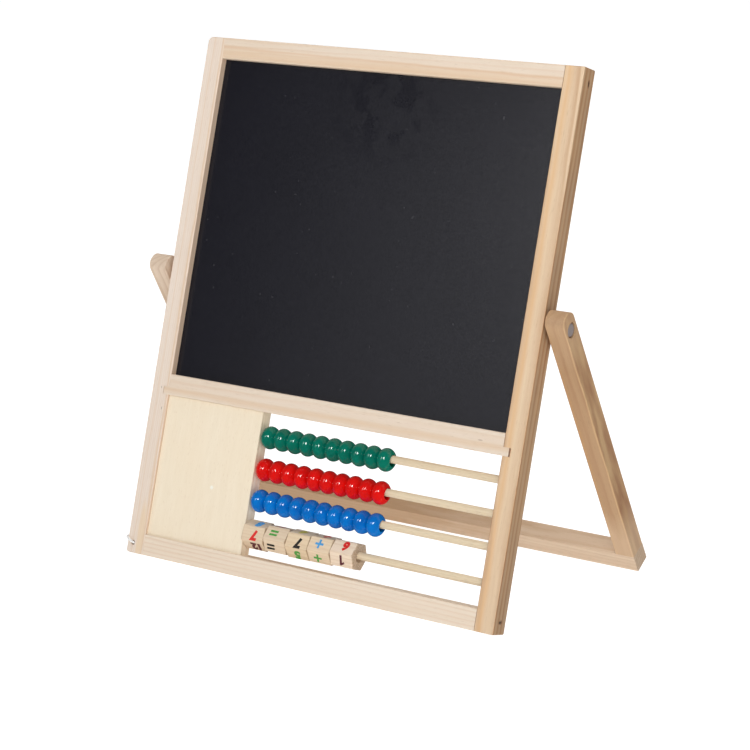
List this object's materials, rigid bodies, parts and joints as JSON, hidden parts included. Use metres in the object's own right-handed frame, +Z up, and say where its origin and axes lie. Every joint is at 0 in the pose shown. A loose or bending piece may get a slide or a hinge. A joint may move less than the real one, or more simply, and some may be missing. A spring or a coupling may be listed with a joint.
{
  "type": "table-top easel",
  "caption": "Folding table-top children's easel: leaning wooden frame with a two-sided writing panel, bead and number abacus below, propped by a U-shaped stand with a check cord.",
  "frame": {"origin": "floor level, centred left to right and front to back under the open easel", "axes": "+X to the right as seen from the front, +Y to the rear, +Z up"},
  "size_m": [0.334, 0.1822, 0.3559],
  "materials": {
    "pine": "bare sanded pine",
    "beech": "bare sanded hardwood, a little browner",
    "plywood": "bare fine-grained plywood",
    "block_wood": "bare wood with printed figures",
    "chalk_black": "matt black chalkboard paint on hardboard",
    "dry_wipe_white": "glossy white dry-wipe coating on hardboard",
    "green_paint": "glossy lacquer on wood",
    "red_paint": "glossy lacquer on wood",
    "blue_paint": "glossy lacquer on wood",
    "pin_steel": "plain zinc-plated steel",
    "brad_steel": "dark plain steel",
    "washer_nylon": "plain nylon",
    "cord_white": "braided white cord"
  },
  "bodies": {
    "board": {"left_stile": "pine", "right_stile": "pine", "top_rail": "pine", "middle_rail": "pine", "bottom_rail": "pine", "frame_brads": "brad_steel", "chalkboard": "chalk_black", "whiteboard": "dry_wipe_white", "plywood_panel": "plywood", "divider": "pine", "green_rod": "pine", "red_rod": "pine", "blue_rod": "pine", "number_rod": "pine", "pivot_pins": "pin_steel", "pivot_washers": "washer_nylon", "cord_loop": "cord_white", "stile_knot": "cord_white", "check_cord": "cord_white"},
    "stand": {"left_leg": "beech", "right_leg": "beech", "cross_bar": "beech", "leg_dowels": "beech", "leg_knot": "cord_white"},
    "green_bead_01": {"green_bead_01": "green_paint"},
    "green_bead_02": {"green_bead_02": "green_paint"},
    "green_bead_03": {"green_bead_03": "green_paint"},
    "green_bead_04": {"green_bead_04": "green_paint"},
    "green_bead_05": {"green_bead_05": "green_paint"},
    "green_bead_06": {"green_bead_06": "green_paint"},
    "green_bead_07": {"green_bead_07": "green_paint"},
    "green_bead_08": {"green_bead_08": "green_paint"},
    "green_bead_09": {"green_bead_09": "green_paint"},
    "green_bead_10": {"green_bead_10": "green_paint"},
    "red_bead_01": {"red_bead_01": "red_paint"},
    "red_bead_02": {"red_bead_02": "red_paint"},
    "red_bead_03": {"red_bead_03": "red_paint"},
    "red_bead_04": {"red_bead_04": "red_paint"},
    "red_bead_05": {"red_bead_05": "red_paint"},
    "red_bead_06": {"red_bead_06": "red_paint"},
    "red_bead_07": {"red_bead_07": "red_paint"},
    "red_bead_08": {"red_bead_08": "red_paint"},
    "red_bead_09": {"red_bead_09": "red_paint"},
    "red_bead_10": {"red_bead_10": "red_paint"},
    "blue_bead_01": {"blue_bead_01": "blue_paint"},
    "blue_bead_02": {"blue_bead_02": "blue_paint"},
    "blue_bead_03": {"blue_bead_03": "blue_paint"},
    "blue_bead_04": {"blue_bead_04": "blue_paint"},
    "blue_bead_05": {"blue_bead_05": "blue_paint"},
    "blue_bead_06": {"blue_bead_06": "blue_paint"},
    "blue_bead_07": {"blue_bead_07": "blue_paint"},
    "blue_bead_08": {"blue_bead_08": "blue_paint"},
    "blue_bead_09": {"blue_bead_09": "blue_paint"},
    "blue_bead_10": {"blue_bead_10": "blue_paint"},
    "number_block_1": {"number_block_1": "block_wood"},
    "number_block_2": {"number_block_2": "block_wood"},
    "number_block_3": {"number_block_3": "block_wood"},
    "number_block_4": {"number_block_4": "block_wood"},
    "number_block_5": {"number_block_5": "block_wood"}
  },
  "joints": [
    {"name": "stand_fold", "type": "hinge", "parent": "board", "child": "stand", "pos_m": [0, -0.02576, 0.19361], "axis": [-1, 0, 0], "range_deg": [0, 47.25], "deforming": ["check_cord"]},
    {"name": "green_bead_01_slide", "type": "slide", "parent": "board", "child": "green_bead_01", "axis": [1, 0, 0], "range_m": [0, 0.0849]},
    {"name": "green_bead_02_slide", "type": "slide", "parent": "board", "child": "green_bead_02", "axis": [1, 0, 0], "range_m": [0, 0.0849]},
    {"name": "green_bead_03_slide", "type": "slide", "parent": "board", "child": "green_bead_03", "axis": [1, 0, 0], "range_m": [0, 0.0849]},
    {"name": "green_bead_04_slide", "type": "slide", "parent": "board", "child": "green_bead_04", "axis": [1, 0, 0], "range_m": [0, 0.0849]},
    {"name": "green_bead_05_slide", "type": "slide", "parent": "board", "child": "green_bead_05", "axis": [1, 0, 0], "range_m": [0, 0.0849]},
    {"name": "green_bead_06_slide", "type": "slide", "parent": "board", "child": "green_bead_06", "axis": [1, 0, 0], "range_m": [0, 0.0849]},
    {"name": "green_bead_07_slide", "type": "slide", "parent": "board", "child": "green_bead_07", "axis": [1, 0, 0], "range_m": [0, 0.0849]},
    {"name": "green_bead_08_slide", "type": "slide", "parent": "board", "child": "green_bead_08", "axis": [1, 0, 0], "range_m": [0, 0.0849]},
    {"name": "green_bead_09_slide", "type": "slide", "parent": "board", "child": "green_bead_09", "axis": [1, 0, 0], "range_m": [0, 0.0849]},
    {"name": "green_bead_10_slide", "type": "slide", "parent": "board", "child": "green_bead_10", "axis": [1, 0, 0], "range_m": [0, 0.0849]},
    {"name": "red_bead_01_slide", "type": "slide", "parent": "board", "child": "red_bead_01", "axis": [1, 0, 0], "range_m": [0, 0.0849]},
    {"name": "red_bead_02_slide", "type": "slide", "parent": "board", "child": "red_bead_02", "axis": [1, 0, 0], "range_m": [0, 0.0849]},
    {"name": "red_bead_03_slide", "type": "slide", "parent": "board", "child": "red_bead_03", "axis": [1, 0, 0], "range_m": [0, 0.0849]},
    {"name": "red_bead_04_slide", "type": "slide", "parent": "board", "child": "red_bead_04", "axis": [1, 0, 0], "range_m": [0, 0.0849]},
    {"name": "red_bead_05_slide", "type": "slide", "parent": "board", "child": "red_bead_05", "axis": [1, 0, 0], "range_m": [0, 0.0849]},
    {"name": "red_bead_06_slide", "type": "slide", "parent": "board", "child": "red_bead_06", "axis": [1, 0, 0], "range_m": [0, 0.0849]},
    {"name": "red_bead_07_slide", "type": "slide", "parent": "board", "child": "red_bead_07", "axis": [1, 0, 0], "range_m": [0, 0.0849]},
    {"name": "red_bead_08_slide", "type": "slide", "parent": "board", "child": "red_bead_08", "axis": [1, 0, 0], "range_m": [0, 0.0849]},
    {"name": "red_bead_09_slide", "type": "slide", "parent": "board", "child": "red_bead_09", "axis": [1, 0, 0], "range_m": [0, 0.0849]},
    {"name": "red_bead_10_slide", "type": "slide", "parent": "board", "child": "red_bead_10", "axis": [1, 0, 0], "range_m": [0, 0.0849]},
    {"name": "blue_bead_01_slide", "type": "slide", "parent": "board", "child": "blue_bead_01", "axis": [1, 0, 0], "range_m": [0, 0.0849]},
    {"name": "blue_bead_02_slide", "type": "slide", "parent": "board", "child": "blue_bead_02", "axis": [1, 0, 0], "range_m": [0, 0.0849]},
    {"name": "blue_bead_03_slide", "type": "slide", "parent": "board", "child": "blue_bead_03", "axis": [1, 0, 0], "range_m": [0, 0.0849]},
    {"name": "blue_bead_04_slide", "type": "slide", "parent": "board", "child": "blue_bead_04", "axis": [1, 0, 0], "range_m": [0, 0.0849]},
    {"name": "blue_bead_05_slide", "type": "slide", "parent": "board", "child": "blue_bead_05", "axis": [1, 0, 0], "range_m": [0, 0.0849]},
    {"name": "blue_bead_06_slide", "type": "slide", "parent": "board", "child": "blue_bead_06", "axis": [1, 0, 0], "range_m": [0, 0.0849]},
    {"name": "blue_bead_07_slide", "type": "slide", "parent": "board", "child": "blue_bead_07", "axis": [1, 0, 0], "range_m": [0, 0.0849]},
    {"name": "blue_bead_08_slide", "type": "slide", "parent": "board", "child": "blue_bead_08", "axis": [1, 0, 0], "range_m": [0, 0.0849]},
    {"name": "blue_bead_09_slide", "type": "slide", "parent": "board", "child": "blue_bead_09", "axis": [1, 0, 0], "range_m": [0, 0.0849]},
    {"name": "blue_bead_10_slide", "type": "slide", "parent": "board", "child": "blue_bead_10", "axis": [1, 0, 0], "range_m": [0, 0.0849]},
    {"name": "number_block_1_turn", "type": "hinge", "parent": "board", "child": "number_block_1", "pos_m": [-0.0453, -0.07441, 0.03034], "axis": [1, 0, 0], "continuous": true},
    {"name": "number_block_2_turn", "type": "hinge", "parent": "board", "child": "number_block_2", "pos_m": [-0.02709, -0.07441, 0.03034], "axis": [1, 0, 0], "continuous": true},
    {"name": "number_block_3_turn", "type": "hinge", "parent": "board", "child": "number_block_3", "pos_m": [-0.00886, -0.07441, 0.03034], "axis": [1, 0, 0], "continuous": true},
    {"name": "number_block_4_turn", "type": "hinge", "parent": "board", "child": "number_block_4", "pos_m": [0.00936, -0.07441, 0.03034], "axis": [1, 0, 0], "continuous": true},
    {"name": "number_block_5_turn", "type": "hinge", "parent": "board", "child": "number_block_5", "pos_m": [0.02757, -0.07441, 0.03034], "axis": [1, 0, 0], "continuous": true}
  ],
  "couplings": [
    {"joint": "green_bead_02_slide", "follows": "green_bead_01_slide", "ratio": 1},
    {"joint": "green_bead_03_slide", "follows": "green_bead_01_slide", "ratio": 1},
    {"joint": "green_bead_04_slide", "follows": "green_bead_01_slide", "ratio": 1},
    {"joint": "green_bead_05_slide", "follows": "green_bead_01_slide", "ratio": 1},
    {"joint": "green_bead_06_slide", "follows": "green_bead_01_slide", "ratio": 1},
    {"joint": "green_bead_07_slide", "follows": "green_bead_01_slide", "ratio": 1},
    {"joint": "green_bead_08_slide", "follows": "green_bead_01_slide", "ratio": 1},
    {"joint": "green_bead_09_slide", "follows": "green_bead_01_slide", "ratio": 1},
    {"joint": "green_bead_10_slide", "follows": "green_bead_01_slide", "ratio": 1},
    {"joint": "red_bead_02_slide", "follows": "red_bead_01_slide", "ratio": 1},
    {"joint": "red_bead_03_slide", "follows": "red_bead_01_slide", "ratio": 1},
    {"joint": "red_bead_04_slide", "follows": "red_bead_01_slide", "ratio": 1},
    {"joint": "red_bead_05_slide", "follows": "red_bead_01_slide", "ratio": 1},
    {"joint": "red_bead_06_slide", "follows": "red_bead_01_slide", "ratio": 1},
    {"joint": "red_bead_07_slide", "follows": "red_bead_01_slide", "ratio": 1},
    {"joint": "red_bead_08_slide", "follows": "red_bead_01_slide", "ratio": 1},
    {"joint": "red_bead_09_slide", "follows": "red_bead_01_slide", "ratio": 1},
    {"joint": "red_bead_10_slide", "follows": "red_bead_01_slide", "ratio": 1},
    {"joint": "blue_bead_02_slide", "follows": "blue_bead_01_slide", "ratio": 1},
    {"joint": "blue_bead_03_slide", "follows": "blue_bead_01_slide", "ratio": 1},
    {"joint": "blue_bead_04_slide", "follows": "blue_bead_01_slide", "ratio": 1},
    {"joint": "blue_bead_05_slide", "follows": "blue_bead_01_slide", "ratio": 1},
    {"joint": "blue_bead_06_slide", "follows": "blue_bead_01_slide", "ratio": 1},
    {"joint": "blue_bead_07_slide", "follows": "blue_bead_01_slide", "ratio": 1},
    {"joint": "blue_bead_08_slide", "follows": "blue_bead_01_slide", "ratio": 1},
    {"joint": "blue_bead_09_slide", "follows": "blue_bead_01_slide", "ratio": 1},
    {"joint": "blue_bead_10_slide", "follows": "blue_bead_01_slide", "ratio": 1}
  ]
}
